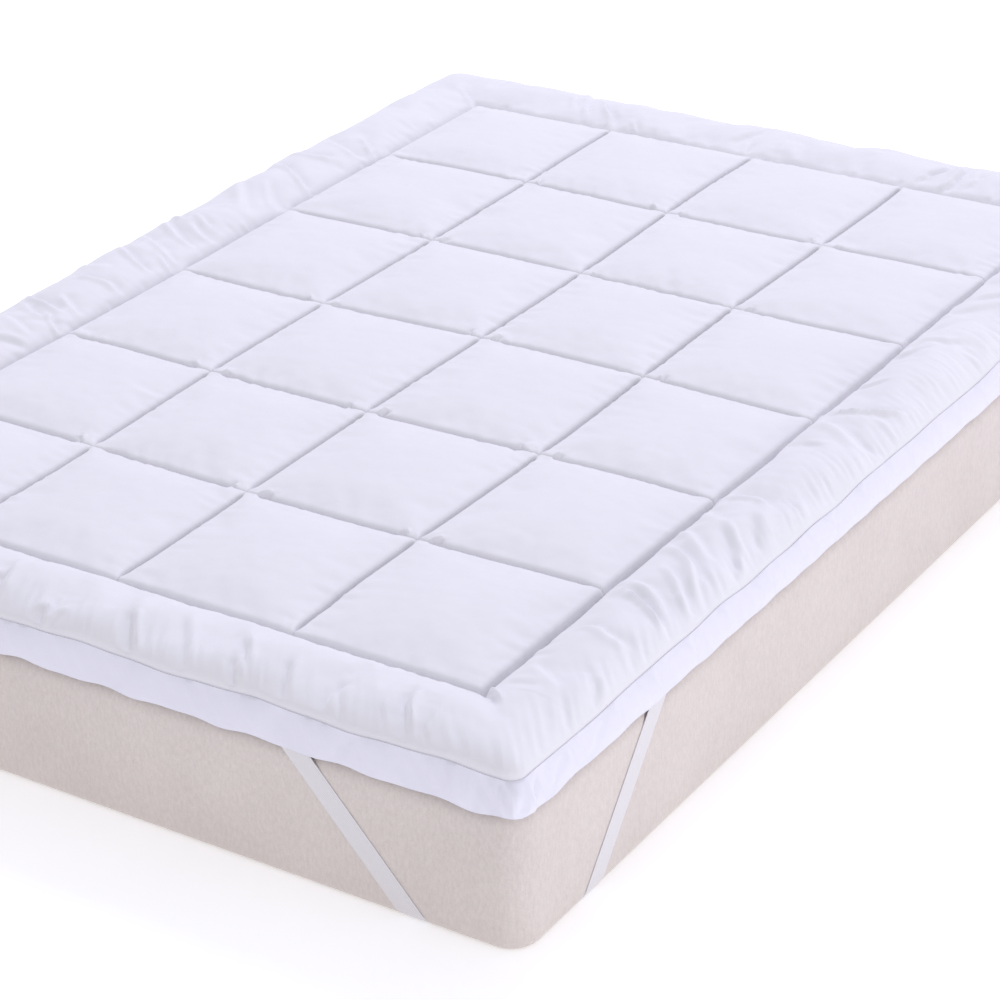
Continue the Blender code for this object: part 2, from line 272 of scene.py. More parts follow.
class Nodes:
    """A short way to write a material's node tree."""

    def __init__(self, name):
        self.material = bpy.data.materials.new(name)
        self.material.use_nodes = True
        self.tree = self.material.node_tree
        self.shader = self.tree.nodes["Principled BSDF"]

    def add(self, kind, inputs=None, **settings):
        node = self.tree.nodes.new(kind)
        for key, value in settings.items():
            setattr(node, key, value)
        for key, value in (inputs or {}).items():
            if isinstance(value, bpy.types.NodeSocket):
                self.tree.links.new(value, node.inputs[key])
            else:
                node.inputs[key].default_value = value
        return node

    def place(self, kind="Object"):
        return self.add("ShaderNodeTexCoord").outputs[kind]

    def stretched(self, source, scale):
        return self.add("ShaderNodeMapping", {"Vector": source, "Scale": scale}).outputs[0]

    def noise(self, source, scale, detail=3.0, roughness=0.5):
        inputs = {"Vector": source, "Scale": scale, "Detail": detail, "Roughness": roughness}
        return self.add("ShaderNodeTexNoise", inputs).outputs["Fac"]

    def wave(self, source, period, direction, distortion=0.0):
        inputs = {"Vector": source, "Scale": WAVE_SCALE / period, "Distortion": distortion}
        return self.add("ShaderNodeTexWave", inputs, bands_direction=direction).outputs["Fac"]

    def math(self, operation, a, b):
        return self.add("ShaderNodeMath", {0: a, 1: b}, operation=operation).outputs[0]

    def blend(self, *shares):
        """The sum of (source, share) pairs."""
        scaled = [source if share == 1 else self.math("MULTIPLY", source, share) for source, share in shares]
        total = scaled[0]
        for value in scaled[1:]:
            total = self.math("ADD", total, value)
        return total

    def colour(self, source, colours, low=0.3, high=0.7):
        """Base colour: the first of two colours where the source is low, the second where it is high."""
        node = self.add("ShaderNodeValToRGB", {"Fac": source})
        for stop, position, colour in zip(node.color_ramp.elements, (low, high), colours):
            stop.position = position
            stop.color = (*colour, 1)
        self.tree.links.new(node.outputs["Color"], self.shader.inputs["Base Color"])

    def bump(self, *layers):
        """Small relief: (height source, strength, distance) layers, each on the one before."""
        inputs = {}
        for height, strength, distance in layers:
            inputs.update({"Height": height, "Strength": strength, "Distance": distance})
            inputs["Normal"] = self.add("ShaderNodeBump", inputs).outputs["Normal"]
        self.tree.links.new(inputs["Normal"], self.shader.inputs["Normal"])

    def roughness(self, source, low, high):
        node = self.add("ShaderNodeMapRange", {"Value": source, "To Min": low, "To Max": high})
        self.tree.links.new(node.outputs[0], self.shader.inputs["Roughness"])

    def set(self, **values):
        """Values that are the same all over, set on the shader's own sockets."""
        for key, value in values.items():
            self.shader.inputs[key.replace("_", " ")].default_value = value


def woven_cotton(name, colours, coordinates="Object"):
    """A fine plain weave: two crossed sets of threads, slubs, a faint cloudiness and a soft crumple."""
    n = Nodes(name)
    place = n.place(coordinates)
    warp = n.wave(place, WEAVE_PERIOD, "X", distortion=0.4)
    weft = n.wave(place, WEAVE_PERIOD, "Y", distortion=0.4)
    checks = n.math("MULTIPLY", warp, weft)
    slubs = n.noise(n.stretched(place, (1.0, 7.0, 1.0)), scale=260.0, detail=2.0)
    clouds = n.noise(place, scale=9.0, detail=4.0, roughness=0.6)
    crumple = n.noise(place, scale=55.0, detail=3.0, roughness=0.55)
    n.colour(n.blend((clouds, 0.7), (slubs, 0.3)), colours)
    n.bump((n.blend((checks, 1), (slubs, 0.8)), 0.25, 0.00012), (crumple, 0.35, 0.0006))
    n.roughness(slubs, 0.78, 0.92)
    n.set(Sheen_Weight=0.25, Sheen_Roughness=0.4, IOR=1.45)
    return n.material


def heather_knit(name):
    """The mattress's cloth: beige with short upright flecks, lighter and darker."""
    n = Nodes(name)
    place = n.place()
    flecks = n.noise(n.stretched(place, (2.2, 2.2, 1.0)), scale=110.0, detail=4.0, roughness=0.65)
    specks = n.noise(place, scale=600.0, detail=2.0)
    patches = n.noise(place, scale=6.0, detail=4.0, roughness=0.6)
    n.colour(n.blend((flecks, 0.45), (specks, 0.30), (patches, 0.25)), MATTRESS_COLOURS, 0.36, 0.64)
    n.bump((n.blend((flecks, 1), (specks, 0.6)), 0.5, 0.0008))
    n.roughness(specks, 0.88, 1.0)
    n.set(Sheen_Weight=0.35, Sheen_Roughness=0.5)
    return n.material


def knitted_elastic(name):
    """Elastic tape: cords along it and fine rows of knitting across, by its UVs in metres."""
    n = Nodes(name)
    place = n.place("UV")
    cords = n.wave(place, CORD_PERIOD, "Y")
    rows = n.wave(place, KNIT_PERIOD, "X", distortion=0.2)
    fuzz = n.noise(place, scale=900.0, detail=2.0)
    n.colour(n.blend((cords, 0.6), (fuzz, 0.4)), ELASTIC_COLOURS, 0.1, 0.9)
    n.bump((n.blend((cords, 1), (rows, 0.35)), 0.5, 0.0004))
    n.roughness(fuzz, 0.7, 0.85)
    n.set(Sheen_Weight=0.2, Sheen_Roughness=0.4)
    return n.material


def stitch_thread(name):
    n = Nodes(name)
    twist = n.noise(n.place(), scale=2500.0, detail=1.0)
    n.colour(twist, THREAD_COLOURS)
    n.bump((twist, 0.4, 0.0001))
    n.set(Roughness=0.6, Sheen_Weight=0.15)
    return n.material


def pale_floor(name):
    n = Nodes(name)
    grain = n.noise(n.place(), scale=3.0, detail=4.0)
    n.colour(grain, FLOOR_COLOURS)
    n.bump((grain, 0.02, 0.001))
    n.set(Roughness=0.9, Emission_Color=(1, 1, 1, 1), Emission_Strength=FLOOR_GLOW)
    return n.material


# ---------------- topper's upper face


class Lines:
    """Mesh lines across the topper in one direction.

    knot counts them in cells, from -1 at one outer seam through 0 at the field's seam, so that two sets
    of lines can be matched; place is in metres.
    """

    def __init__(self, half, cells, cell_steps, border_steps=0, cell_crowding=0.0, border_crowding=0.0):
        def shares(steps, crowding):
            t = np.arange(steps) / max(1, steps)
            return t - crowding * np.sin(math.tau * t) / math.tau

        field = half - BORDER
        size = 2 * field / cells
        border = shares(border_steps, border_crowding)
        inner = (np.arange(cells)[:, None] + shares(cell_steps, cell_crowding)[None, :]).ravel()
        ends = [cells + 1] if border_steps else []
        after = cells + border if border_steps else [cells]
        self.knot = np.concatenate([-1 + border, inner, after, ends])
        self.cells = cells
        self.border = np.where(self.knot < 0, self.knot, np.maximum(0, self.knot - cells))
        in_field = np.clip(self.knot, 0, cells)
        self.share = in_field - np.floor(in_field)
        self.place = -field + in_field * size + self.border * BORDER
        self.to_seam = np.minimum(self.share, 1 - self.share) * size
        self.by_field_seam = np.isin(np.round(in_field), (0, cells))
        self.count = len(self.knot)


def round_corner(across, along):
    """Moves points of a corner of the border, given as shares of its width, onto the rounded corner."""
    reach = np.maximum(np.abs(across), np.abs(along))
    reach = np.where(reach == 0, 1, reach)
    x, y = np.abs(across) / reach, np.abs(along) / reach
    radius = CORNER_RADIUS / BORDER
    inner = 1 - radius
    toward = inner * (x + y)
    square = np.maximum(1, x * x + y * y)  # always at least 1 where it counts
    root = np.sqrt(np.maximum(0, toward**2 - square * (2 * inner**2 - radius**2)))
    scale = np.where(np.minimum(x, y) > inner, (toward + root) / square, 1.0)
    return across * scale, along * scale


# Creases of the border, each a soft trough along a smooth line, or a ridge where its depth is negative.
# The lip is the share of its depth that its left side stands up, or its right side where negative.
# mirror repeats it over the bed's middle, in x or in y, on a side that the photo doesn't show.
#
# depth, width, lip, mirror, (x, y) along it; all sizes in mm
CREASES = (
    # right side
    (2.5, 8, -0.6, "y", ((553, -262), (585, -262), (615, -268), (638, -292))),
    (2.5, 12, -0.4, "y", ((553, -297), (580, -330), (612, -353))),
    (2.8, 11, 0.3, "y", ((615, -310), (640, -345), (664, -380))),
    (3.0, 8, 0.7, "y", ((590, -350), (625, -385), (652, -418), (672, -455))),
    (3.0, 10, -0.5, "y", ((560, -372), (600, -405), (640, -445))),
    (5.0, 9, -0.7, "y", ((562, -415), (595, -440), (625, -465), (648, -497), (674, -530))),
    (3.0, 8, -0.8, "", ((590, -480), (622, -503), (650, -530), (680, -558))),
    (3.0, 9, -0.5, "", ((565, -528), (605, -538), (640, -562), (676, -602))),
    (4.5, 6, -0.8, "", ((580, -552), (604, -565), (635, -585), (672, -612))),
    (2.5, 9, -0.6, "", ((560, -652), (590, -648), (622, -662), (660, -668))),
    (2.0, 10, -0.6, "", ((570, -742), (605, -765), (640, -790))),
    (2.0, 8, 0.5, "", ((650, -740), (664, -765), (675, -785))),
    (1.8, 9, 0.3, "", ((560, -797), (585, -795), (610, -800))),
    (4.5, 6, -0.9, "", ((555, 8), (595, 14), (625, 28), (655, 52))),
    (3.5, 14, -0.5, "", ((555, -20), (600, -36), (640, -58), (668, -80))),
    (1.6, 7, 0.4, "", ((570, -98), (590, -102), (610, -99))),
    (2.2, 8, 0.5, "", ((552, 205), (580, 226), (606, 258))),
    (1.6, 6, 0.5, "", ((550, 100), (575, 106), (600, 118))),
    # near end
    (4.5, 7, 0.6, "x", ((490, -880), (499, -908), (524, -945))),
    (2.6, 10, 0.3, "x", ((412, -895), (406, -920), (404, -950))),
    (3.2, 7, 0.5, "x", ((330, -895), (342, -922), (354, -950))),
    (3.2, 7, 0.5, "x", ((250, -880), (272, -906), (286, -930))),
    (3.4, 7, 0.5, "x", ((262, -915), (276, -935), (292, -955))),
    (-2.8, 11, 0.0, "x", ((225, -842), (255, -872), (282, -900))),
    (4.5, 7, 0.6, "x", ((96, -898), (114, -924), (137, -955))),
    (-2.5, 10, 0.0, "x", ((75, -848), (100, -884), (124, -918))),
    (2.4, 9, 0.4, "x", ((150, -868), (182, -908), (214, -952))),
    (3.0, 7, 0.5, "x", ((-20, -925), (-10, -942), (0, -958))),
    (3.2, 8, 0.5, "", ((-110, -872), (-100, -905), (-86, -940))),
    # left side
    (3.0, 7, 0.6, "y", ((-544, 518), (-572, 542), (-600, 562))),
    (2.6, 9, 0.5, "y", ((-548, 492), (-600, 508), (-645, 532))),
    (3.0, 10, 0.6, "y", ((-580, 462), (-620, 449), (-668, 448))),
    (4.2, 8, 0.6, "y", ((-542, 342), (-580, 358), (-612, 378), (-655, 400))),
    (2.6, 9, 0.5, "y", ((-544, 250), (-570, 274), (-604, 312))),
    (2.8, 12, 0.5, "", ((-565, 200), (-600, 243), (-652, 304))),
    (2.4, 7, 0.5, "", ((-578, 124), (-600, 136), (-625, 146))),
    (3.0, 8, 0.6, "", ((-628, 127), (-650, 132), (-672, 150))),
    (2.6, 8, 0.5, "", ((-548, 94), (-580, 103), (-615, 122))),
    (3.8, 9, 0.6, "", ((-553, 58), (-590, 70), (-625, 92), (-660, 112))),
    (3.2, 9, 0.6, "", ((-548, 1), (-585, 18), (-625, 40), (-665, 62))),
    (2.4, 6, 0.5, "", ((-542, -18), (-560, -10), (-580, -2))),
    (4.0, 8, 0.6, "", ((-556, -48), (-585, -43), (-615, -28), (-655, -6))),
    (4.0, 9, 0.5, "", ((-544, -130), (-575, -122), (-605, -130), (-640, -138))),
    (-3.0, 10, 0.0, "", ((-600, -90), (-635, -104), (-672, -92))),
    (2.6, 8, 0.5, "", ((-552, -220), (-580, -210), (-605, -196))),
    (4.2, 8, 0.6, "", ((-572, -238), (-600, -232), (-630, -225), (-670, -212))),
    (3.2, 6, 0.5, "", ((-543, -280), (-564, -270), (-584, -252))),
    (2.8, 8, 0.5, "", ((-578, -273), (-605, -264), (-640, -242))),
    (2.4, 10, 0.4, "", ((-560, -318), (-590, -310), (-630, -300))),
    # far end
    (4.0, 7, 0.5, "x", ((-272, 828), (-284, 852), (-306, 872), (-328, 903), (-350, 932))),
    (2.8, 7, 0.5, "x", ((-333, 848), (-342, 866), (-354, 886))),
    (2.8, 8, 0.5, "x", ((-362, 860), (-376, 885), (-388, 910))),
    (2.8, 8, 0.4, "", ((-368, 915), (-374, 935), (-392, 955))),
    (2.0, 5, 0.6, "", ((-222, 824), (-230, 835), (-242, 850))),
    (2.0, 9, 0.4, "", ((-62, 840), (-45, 865), (-28, 900), (-24, 935))),
    (2.2, 6, 0.4, "", ((-18, 825), (-20, 845), (-26, 862))),
    (3.5, 8, 0.5, "", ((288, 832), (296, 855), (310, 895), (306, 930))),
    (4.0, 8, 0.6, "", ((332, 820), (343, 845), (341, 890), (334, 935))),
    (2.6, 9, 0.4, "", ((365, 830), (378, 870), (366, 915))),
    # folds from the field's corners to the topper's corners
    (4.5, 5, 0.5, "", ((541, -812), (562, -829), (592, -858))),
    (3.5, 6, 0.5, "", ((-543, 806), (-565, 829), (-602, 862))),
    (3.5, 6, 0.5, "", ((-542, -814), (-563, -832), (-590, -852))),
    (3.5, 6, 0.5, "", ((542, 812), (566, 828), (596, 856))),
)


CREASE_SHARE = 1.4  # of the table's depth
CREASE_WIDTH = 0.65  # and of its width
MIRRORED_SHARE = 0.5  # of a crease's depth, in its mirrored copy
STEEP_SIDE, GENTLE_SIDE = 0.7, 1.9  # how wide a crease's two sides are, in its widths
LIP_HEIGHT, LIP_PLACE, LIP_WIDTH = 1.4, 1.8, 1.1
CREASE_POINTEDNESS = 1.5
CREASE_START, CREASE_END = 0.25, 0.3  # shares of its length in which it deepens and runs out
END_DEPTH = 0.12  # share of its depth at its ends

TUCK_SEED = 11
TUCKS_LEFT_OUT = 0.15  # share of them
TUCK_FROM_CROSSING = (0.020, 0.033)
TUCK_PAST_SEAM = (0.002, 0.008)
TUCK_HALF_LENGTH = (0.006, 0.011)
TUCK_LEAN, TUCK_LEAN_SPREAD = 8, 24  # degrees
TUCK_BOW = 0.0012
TUCK_DEPTH = (0.0030, 0.0044)
TUCK_WIDTH = (0.0022, 0.0030)
TUCK_LIP = 0.5


def crease_list():
    """The creases and their mirrored copies: (depth, width, lip, smooth line)."""
    found = []
    for depth, width, lip, mirror, points in CREASES:
        line = curve_through(np.array(points) / 1000)
        width *= CREASE_WIDTH
        found.append((depth / 1000, width / 1000, lip, line))
        if mirror:
            flipped = line * ((-1, 1) if mirror == "x" else (1, -1))
            found.append((MIRRORED_SHARE * depth / 1000, width / 1000, -lip, flipped))
    return found


def tuck_list():
    """Short folds beside each crossing of two stitched lines, made the same way as the creases."""
    rng = np.random.default_rng(TUCK_SEED)
    found = []
    for i in range(1, CELLS_X):
        for j in range(1, CELLS_Y):
            centre = np.array((i * CELL_X - HALF_X + BORDER, j * CELL_Y - HALF_Y + BORDER))
            for side in (1, -1):
                if rng.random() < TUCKS_LEFT_OUT:
                    continue
                away = side * rng.uniform(*TUCK_FROM_CROSSING)
                lean = math.radians(rng.normal(side * TUCK_LEAN, TUCK_LEAN_SPREAD))
                half = rng.uniform(*TUCK_HALF_LENGTH)
                middle = centre + (away, rng.uniform(*TUCK_PAST_SEAM))
                reach = half * np.array((math.sin(lean), math.cos(lean)))
                bow = rng.normal(0, TUCK_BOW, 2)
                line = curve_through((middle - reach, middle + bow, middle + reach))
                found.append((rng.uniform(*TUCK_DEPTH), rng.uniform(*TUCK_WIDTH), side * TUCK_LIP, line))
    return found


def beside(line, p):
    """Each point's distance from a line, the same with a sign (left is positive), and its share along it."""
    best = np.full(len(p), np.inf)
    side = np.zeros(len(p))
    along = np.zeros(len(p))
    for i, (a, b) in enumerate(zip(line, line[1:])):
        step = b - a
        t = np.clip(((p - a) @ step) / (step @ step), 0, 1)
        away = p - (a + t[:, None] * step)
        distance = np.hypot(away[:, 0], away[:, 1])
        closer = distance < best
        best = np.where(closer, distance, best)
        left = step[0] * away[:, 1] - step[1] * away[:, 0]
        side = np.where(closer, np.sign(left) * distance, side)
        along = np.where(closer, (i + t) / (len(line) - 1), along)
    return best, side, along


def crease_depth(x, y):
    """How far the creases and tucks lower the cloth at each point."""
    total = np.zeros_like(x)
    for depth, width, lip, line in crease_list() + tuck_list():
        margin = 4 * width  # beyond it a crease is too shallow to count
        low, high = line.min(0) - margin, line.max(0) + margin
        near = (x > low[0]) & (x < high[0]) & (y > low[1]) & (y < high[1])
        if not near.any():
            continue
        best, side, along = beside(line, np.stack([x[near], y[near]], -1))
        taper = smooth(along / CREASE_START) * smooth((1 - along) / CREASE_END)
        taper = END_DEPTH + (1 - END_DEPTH) * taper
        to_lip = side * np.sign(lip)
        reach = width * np.where(to_lip > 0, STEEP_SIDE, GENTLE_SIDE)
        trough = np.exp(-((best / reach) ** CREASE_POINTEDNESS))
        raised = np.exp(-(((to_lip - LIP_PLACE * width) / (LIP_WIDTH * width)) ** 2))
        total[near] += CREASE_SHARE * depth * taper * (trough - LIP_HEIGHT * abs(lip) * raised)
    return total


def rough(x, y, layer=0.0):
    """Smooth random heights between about -1 and 1, one for each unit of x and y."""
    full = 1.6  # the noise by itself stays within about 0.6
    pairs = zip(np.ravel(x).tolist(), np.ravel(y).tolist())
    return np.array([noise.noise((a, b, layer)) for a, b in pairs]).reshape(np.shape(x)) * full


def lumps_and_puckers(x, y, from_x, from_y, from_rim, in_border):
    """Unevenness of the filling, and the small folds that stitches draw square to a seam."""

    def near(distance, deepest):
        return distance / deepest * np.exp(1 - distance / deepest)

    height = sum(size * rough(number * x, number * y, layer) for size, number, layer in LUMPS)
    height = height * smooth(np.minimum(np.minimum(from_x, from_y), from_rim) / LUMPS_START)
    patchy = rough(PATCHES_IN_METRE * x, PATCHES_IN_METRE * y, PATCH_LAYER)
    patchy = np.clip(PATCH_MIDDLE + PATCH_SPREAD * patchy, 0, 1)
    for from_seam, along, seam_layer in ((from_x, y, 10.0), (from_y, x, 20.0)):
        for apart, length, deepest, layer in PUCKERS:
            folds = rough(along / apart, from_seam / length + seam_layer, seam_layer + layer)
            height = height + PUCKER * patchy * near(from_seam, deepest) * folds
    round_bed = RIM_PER_RADIAN * np.arctan2(y / HALF_Y, x / HALF_X) + RIM_PER_METRE * (x + y)
    rim = rough(round_bed, from_rim / RIM_PUCKER_LENGTH, RIM_LAYER)
    return height + np.where(in_border, RIM_PUCKER * near(from_rim, RIM_PUCKER_DEEPEST) * rim, 0)


def upper_face(lines_x, lines_y, keep=...):
    """Points of the topper's upper face where two sets of lines cross, or only those that keep marks."""

    def over(name):
        pair = np.meshgrid(getattr(lines_x, name), getattr(lines_y, name), indexing="ij")
        return pair[0][keep], pair[1][keep]

    bx, by = over("border")
    sx, sy = over("share")
    x, y = over("place")
    dx, dy = over("to_seam")
    field_x, field_y = over("by_field_seam")
    edge = np.maximum(np.abs(bx), np.abs(by))
    corner = (bx != 0) & (by != 0)
    across, along = round_corner(bx, by)
    x = np.where(corner, np.copysign(HALF_X - BORDER, x) + BORDER * across, x)
    y = np.where(corner, np.copysign(HALF_Y - BORDER, y) + BORDER * along, y)

    cell = CELL_CROWN + CELL_SPREAD * uneven(x, y)
    cell = cell * shoulder(dx, CELL_SHOULDER) * shoulder(dy, CELL_SHOULDER)
    cell = cell + CELL_DOME * (1 - (2 * sx - 1) ** 2) * (1 - (2 * sy - 1) ** 2)
    from_field, from_rim = edge * BORDER, (1 - edge) * BORDER
    border = BORDER_CROWN + BORDER_SPREAD * uneven(BORDER_PACE * x, BORDER_PACE * y)
    border = border * (1 - FLATTER_SHARE * smooth((y - FLATTER_FROM) / (HALF_Y - FLATTER_FROM)))
    rise = 1 - (1 - np.clip(from_field / BORDER_RISE, 0, 1)) ** 2
    border = border * rise * shoulder(from_rim, RIM_SHOULDER)
    border = border - (SEAM_HEIGHT - OUTER_SEAM_HEIGHT) * edge**3 + outer_seam_wave(x, y) * edge**2
    z = SEAM_HEIGHT + np.where(edge > 0, border, cell)

    # stitched lines lie deeper between their crossings, and no line crosses at the field's corners
    def dip(from_seam, to_crossing, depth, ramp, least=0):
        full = least + (1 - least) * smooth((to_crossing - ramp[0]) / (ramp[1] - ramp[0]))
        side = shoulder(np.maximum(0, from_seam - SEAM_FLOOR), DIP_WIDTH, DIP_SQUARENESS)
        return depth * full * (1 - side)

    def field_dip(from_seam, to_crossing):
        depth = FIELD_SEAM_DIP + FIELD_DIP_TO_RIGHT * x / HALF_X - FIELD_DIP_TO_NEAR * y / HALF_Y
        return dip(from_seam, to_crossing, depth, FIELD_RAMP, FIELD_LEAST)

    along_x = np.where(field_y, CELL_Y, dy)
    along_y = np.where(field_x, CELL_X, dx)
    dip_x = np.where(field_x, field_dip(dx, along_x), dip(dx, dy, SEAM_DIP, ALONG_RAMP))
    dip_y = np.where(field_y, field_dip(dy, along_y), dip(dy, dx, SEAM_DIP, ACROSS_RAMP))
    dent = STITCH_DENT * np.exp(-np.minimum(dx, dy) / STITCH_DENT_WIDTH)
    to_crossing = np.where(corner, CELL_X, np.where(bx != 0, along_x, along_y))
    border_side = 1 - np.clip((from_field - SEAM_FLOOR) / BORDER_DIP_WIDTH, 0, 1)
    border_dip = field_dip(0, to_crossing) * border_side**2
    z = z - np.where(edge > 0, border_dip, np.maximum(dip_x, dip_y) + dent)

    from_x = np.where(bx != 0, from_field, dx)
    from_y = np.where(by != 0, from_field, dy)
    z = z + lumps_and_puckers(x, y, from_x, from_y, from_rim, edge > 0)
    z = z - crease_depth(x, y) * smooth((1 - edge) / CREASES_END)

    # seams wander a little inside the field
    inside = np.minimum(HALF_X - BORDER - np.abs(x), HALF_Y - BORDER - np.abs(y))
    wander = SEAM_WANDER * np.clip(inside / BORDER, 0, 1)
    return np.stack([x + wander * uneven(y, 2 * x), y + wander * uneven(x, 2 * y), z], -1)


def patch_weights(coarse, fine):
    """Matrix that carries values at the coarse lines to the fine ones, smooth inside each cell or border."""
    tiny = 1e-9
    weights = np.zeros((fine.count, coarse.count))
    for i, knot in enumerate(fine.knot):
        patch = min(math.floor(knot + tiny), coarse.cells)
        first = int(np.searchsorted(coarse.knot, patch - tiny))
        last = int(np.searchsorted(coarse.knot, patch + 1 - tiny))
        t = (knot - patch) * (last - first)
        k = min(max(int(t), 0), last - first - 1)
        t -= k
        cubic = (
            (-t + 2 * t**2 - t**3) / 2,
            (2 - 5 * t**2 + 3 * t**3) / 2,
            (t + 4 * t**2 - 3 * t**3) / 2,
            (t**3 - t**2) / 2,
        )
        for j, weight in zip(range(first + k - 1, first + k + 3), cubic):
            if j < first:  # carry the curve on in a straight line past the seam
                weights[i, first] += 2 * weight
                weights[i, first + 1] -= weight
            elif j > last:
                weights[i, last] += 2 * weight
                weights[i, last - 1] -= weight
            else:
                weights[i, j] += weight
    return weights


def settled(points, lines_x, lines_y):
    """The upper face after Blender's cloth has settled it, blown up between its stitched lines."""
    n, m = points.shape[:2]
    item = make_object("cloth", points.reshape(-1, 3), grid_faces(n, m).tolist())
    bx, by = np.meshgrid(lines_x.border, lines_y.border, indexing="ij")
    dx, dy = np.meshgrid(lines_x.to_seam, lines_y.to_seam, indexing="ij")
    edge = np.maximum(np.abs(bx), np.abs(by))
    tiny = 1e-6
    on_line = (np.minimum(dx, dy) < tiny) & (edge < tiny)
    held = np.flatnonzero(on_line | (edge > 1 - tiny)).tolist()
    cells = np.flatnonzero(edge == 0).tolist()
    item.vertex_groups.new(name="stitched").add(held, 1.0, "REPLACE")
    item.vertex_groups.new(name="snug").add(cells, 1 - CELL_SPARE / BORDER_SPARE, "REPLACE")

    cloth = item.modifiers.new("cloth", "CLOTH")
    for key, value in CLOTH.items():
        setattr(cloth.settings, key, value)
    cloth.settings.vertex_group_mass = "stitched"
    cloth.settings.vertex_group_shrink = "snug"
    cloth.settings.effector_weights.gravity = 0
    cloth.collision_settings.use_collision = False
    cloth.point_cache.frame_end = CLOTH_FRAMES
    for step in range(1, CLOTH_FRAMES + 1):
        bpy.context.scene.frame_set(step)
    result = item.evaluated_get(bpy.context.evaluated_depsgraph_get())
    found = np.zeros(n * m * 3, np.float32)
    result.data.vertices.foreach_get("co", found)
    bpy.data.meshes.remove(item.data)  # and the object with it
    bpy.context.scene.frame_set(1)
    return found.reshape(n, m, 3).astype(float)


class Settling:
    """What the cloth simulation changes on the coarse grid, ready to be laid on a fine one."""

    def __init__(self):
        self.x = Lines(HALF_X, CELLS_X, COARSE_CELL, COARSE_BORDER)
        self.y = Lines(HALF_Y, CELLS_Y, COARSE_CELL, COARSE_BORDER)
        self.change = np.zeros((self.x.count, self.y.count, 3))
        start = upper_face(self.x, self.y)
        self.change = settled(start, self.x, self.y) - start

    def finished_face(self, lines_x, lines_y, keep=...):
        """Points of the fine upper face with the coarse grid's change laid on them."""
        carry_x = patch_weights(self.x, lines_x)
        carry_y = patch_weights(self.y, lines_y)
        carried = np.stack([carry_x @ self.change[..., k] @ carry_y.T for k in range(3)], -1)
        return upper_face(lines_x, lines_y, keep) + carried[keep]


def edge_of(grid):
    """The items round the edge of a grid, anticlockwise."""
    return np.concatenate([grid[:, 0], grid[-1, 1:], grid[-2::-1, -1], grid[0, -2:0:-1]])


def outward(points):
    """Unit vectors that point out of the topper's outline, at points on it."""
    out_x = np.sign(points[:, 0]) * np.maximum(0, np.abs(points[:, 0]) - (HALF_X - CORNER_RADIUS))
    out_y = np.sign(points[:, 1]) * np.maximum(0, np.abs(points[:, 1]) - (HALF_Y - CORNER_RADIUS))
    length = np.hypot(out_x, out_y)
    return np.stack([out_x / length, out_y / length], -1)


def walls(rim, foot):
    """Quads that join a rim to its foot, seen from outside where the rim runs anticlockwise."""
    return np.stack([foot, np.roll(foot, -1), np.roll(rim, -1), rim], -1)


def make_field(name, face, material):
    """Some columns of the stitched squares, closed underneath and down the seams round them."""
    n, m = face.shape[:2]
    rim = edge_of(np.arange(n * m).reshape(n, m))
    points = face.reshape(-1, 3)
    under = points[rim].copy()
    under[:, 2] = PAD_LOW.z
    foot = n * m + np.arange(len(rim))
    faces = grid_faces(n, m).tolist() + walls(rim, foot).tolist() + [foot[::-1].tolist()]
    return make_object(name, np.vstack([points, under]), faces, material, PAD_SHARP)


def make_border(settling, material):
    """The puffed border round the squares, closed underneath, at its rim and down the field's seam."""
    lines_x = Lines(HALF_X, CELLS_X, LONG_STEPS, BORDER_STEPS, 0, BORDER_CROWDING)
    lines_y = Lines(HALF_Y, CELLS_Y, LONG_STEPS, BORDER_STEPS, 0, BORDER_CROWDING)

    def over_field(x, y):
        return ((x > 0) & (x < CELLS_X))[:, None] & ((y > 0) & (y < CELLS_Y))[None, :]

    keep = ~over_field(lines_x.knot, lines_y.knot)
    points = settling.finished_face(lines_x, lines_y, keep)
    count = len(points)
    numbers = np.full(keep.shape, -1)
    numbers[keep] = np.arange(count)

    quad_middles = [(k[1:] + k[:-1]) / 2 for k in (lines_x.knot, lines_y.knot)]
    top = quads_of(numbers)[~over_field(*quad_middles)]

    b = BORDER_STEPS
    rim, seam = edge_of(numbers), edge_of(numbers[b:-b, b:-b])
    points[rim, :2] -= SEAM_ALLOWANCE * outward(points[rim])
    rim_foot = count + np.arange(len(rim))
    seam_foot = count + len(rim) + np.arange(len(seam))
    under = points[np.concatenate([rim, seam])].copy()
    under[:, 2] = PAD_LOW.z

    # underneath, each edge of the outline meets the edge or the corner of the field that faces it
    i, j = np.meshgrid(*[np.arange(k) for k in numbers.shape], indexing="ij")
    facing = numbers[np.clip(i, b, len(i) - 1 - b), np.clip(j, b, i.shape[1] - 1 - b)]
    place_in_seam = {int(v): int(f) for v, f in zip(seam, seam_foot)}
    inner = np.array([place_in_seam[int(v)] for v in edge_of(facing)])
    bottom = []
    for a, c, p, q in zip(rim_foot, np.roll(rim_foot, -1), inner, np.roll(inner, -1)):
        bottom.append([a, p, c] if p == q else [a, p, q, c])

    faces = top.tolist() + walls(rim, rim_foot).tolist() + walls(seam, seam_foot)[:, ::-1].tolist() + bottom
    return make_object("puffed_border", np.vstack([points, under]), faces, material, PAD_SHARP)


# ---------------- stitches

STITCH_PITCH = 0.0042
STITCH_LENGTH = 0.0031
STITCH_RADIUS = 0.00042
STITCHED_BELOW = 0.004  # under the height where lines cross, which the stitches leave out
STITCH_TIPS = (0.0, 1.0)
STITCH_SINKS = -0.4  # its tips, in radii
# rings between its tips: share of its length, thickness and lift in radii
STITCH_RINGS = ((0.12, 0.75, 0.0), (0.5, 1.0, 0.35), (0.88, 0.75, 0.0))
STITCH_SIDES = 4


